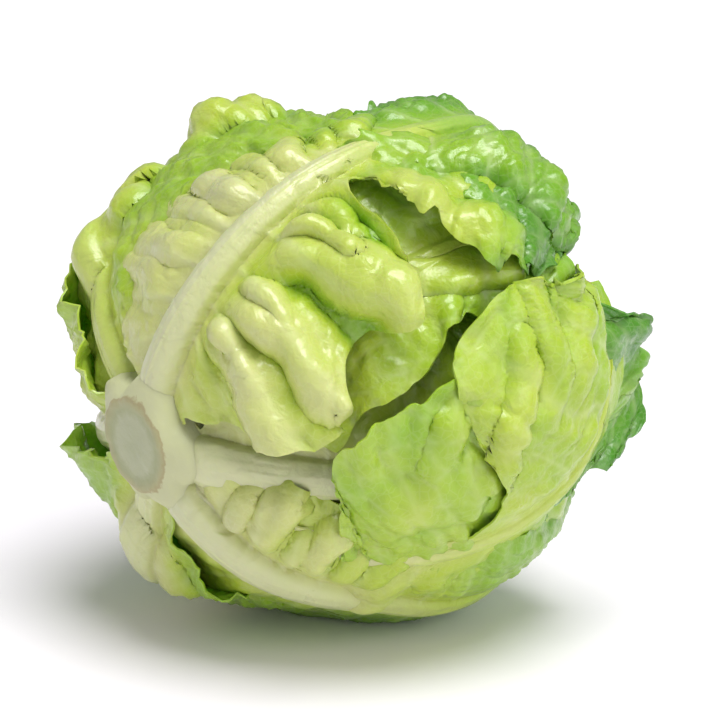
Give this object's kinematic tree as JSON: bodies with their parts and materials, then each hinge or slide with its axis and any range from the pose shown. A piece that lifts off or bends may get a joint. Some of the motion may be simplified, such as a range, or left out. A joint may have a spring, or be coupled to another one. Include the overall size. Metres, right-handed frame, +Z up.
{
  "type": "head of lettuce",
  "caption": "Whole butterhead lettuce lying on its side, with the cut stump showing, loose ribbed outer leaves with waved edges, and a tight heart.",
  "frame": {"origin": "on the surface that the head lies on, in the small flat spot under the middle of the head", "axes": "+Z up; the cut stump points towards -X and -Y, low on the left front; the crown points towards +X and +Y"},
  "size_m": [0.1684, 0.1599, 0.1512],
  "materials": {
    "stem_flesh": "moist cut stem flesh, pale grey green with a browned rim",
    "pale_blade": "waxy leaf, white green at the rib and base, yellow green at the edge",
    "leaf_blade": "waxy leaf, yellow green to mid green, finely veined and puckered",
    "heart_blade": "waxy inner leaf, pale yellow green"
  },
  "bodies": {
    "root": {"stem": "stem_flesh", "leaf_draped": "leaf_blade", "leaf_folded": "leaf_blade", "leaf_crest": "pale_blade", "leaf_base": "pale_blade", "leaf_back_low": "leaf_blade", "leaf_back_high": "leaf_blade", "leaf_shoulder": "leaf_blade", "leaf_facing": "pale_blade", "leaf_tucked": "leaf_blade", "leaf_inner_top": "leaf_blade", "leaf_inner_side": "leaf_blade", "heart": "heart_blade"}
  },
  "joints": []
}
